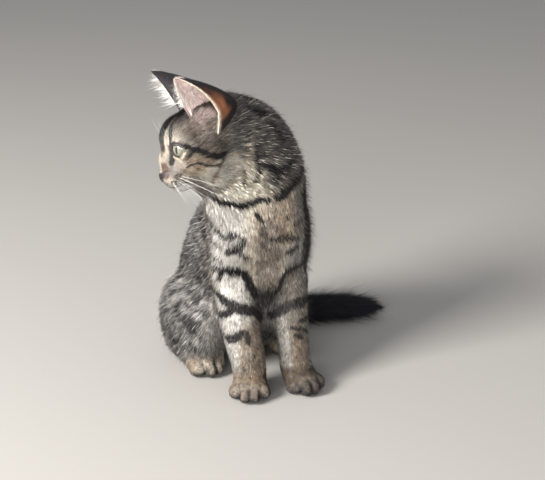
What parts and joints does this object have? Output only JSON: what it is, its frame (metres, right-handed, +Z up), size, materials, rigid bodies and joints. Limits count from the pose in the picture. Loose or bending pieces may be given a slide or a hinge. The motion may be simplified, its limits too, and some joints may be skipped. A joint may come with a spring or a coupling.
{
  "type": "tabby kitten",
  "caption": "Life-size sitting tabby kitten, chest forward, head turned to its right, tail lying on the floor to its left. Rests on its paws, rump and tail.",
  "frame": {"origin": "on the floor under the middle of the bounding box", "axes": "+Z up, chest faces -Y, the kitten's left side is +X"},
  "size_m": [0.2398, 0.1842, 0.2815],
  "materials": {
    "tabby": "soft matt coat, grey-brown with charcoal stripes",
    "cream_coat": "soft matt coat, cream and tan with dark bars",
    "dark_coat": "soft matt charcoal coat",
    "eye": "wet gloss, pale grey-green iris with a slit pupil",
    "skin": "bare pink to black skin of nose and inner ears"
  },
  "bodies": {
    "root": {"head": "tabby", "neck": "tabby", "trunk": "tabby", "ear_left": "tabby", "ear_right": "tabby", "hindleg_left": "tabby", "hindleg_right": "tabby", "tail_base": "tabby", "foreleg_left": "cream_coat", "foreleg_right": "cream_coat", "forepaw_left": "cream_coat", "forepaw_right": "cream_coat", "hindpaw_left": "cream_coat", "hindpaw_right": "cream_coat", "tail_middle": "dark_coat", "tail_tip": "dark_coat", "eye_left": "eye", "eye_right": "eye"}
  },
  "joints": []
}
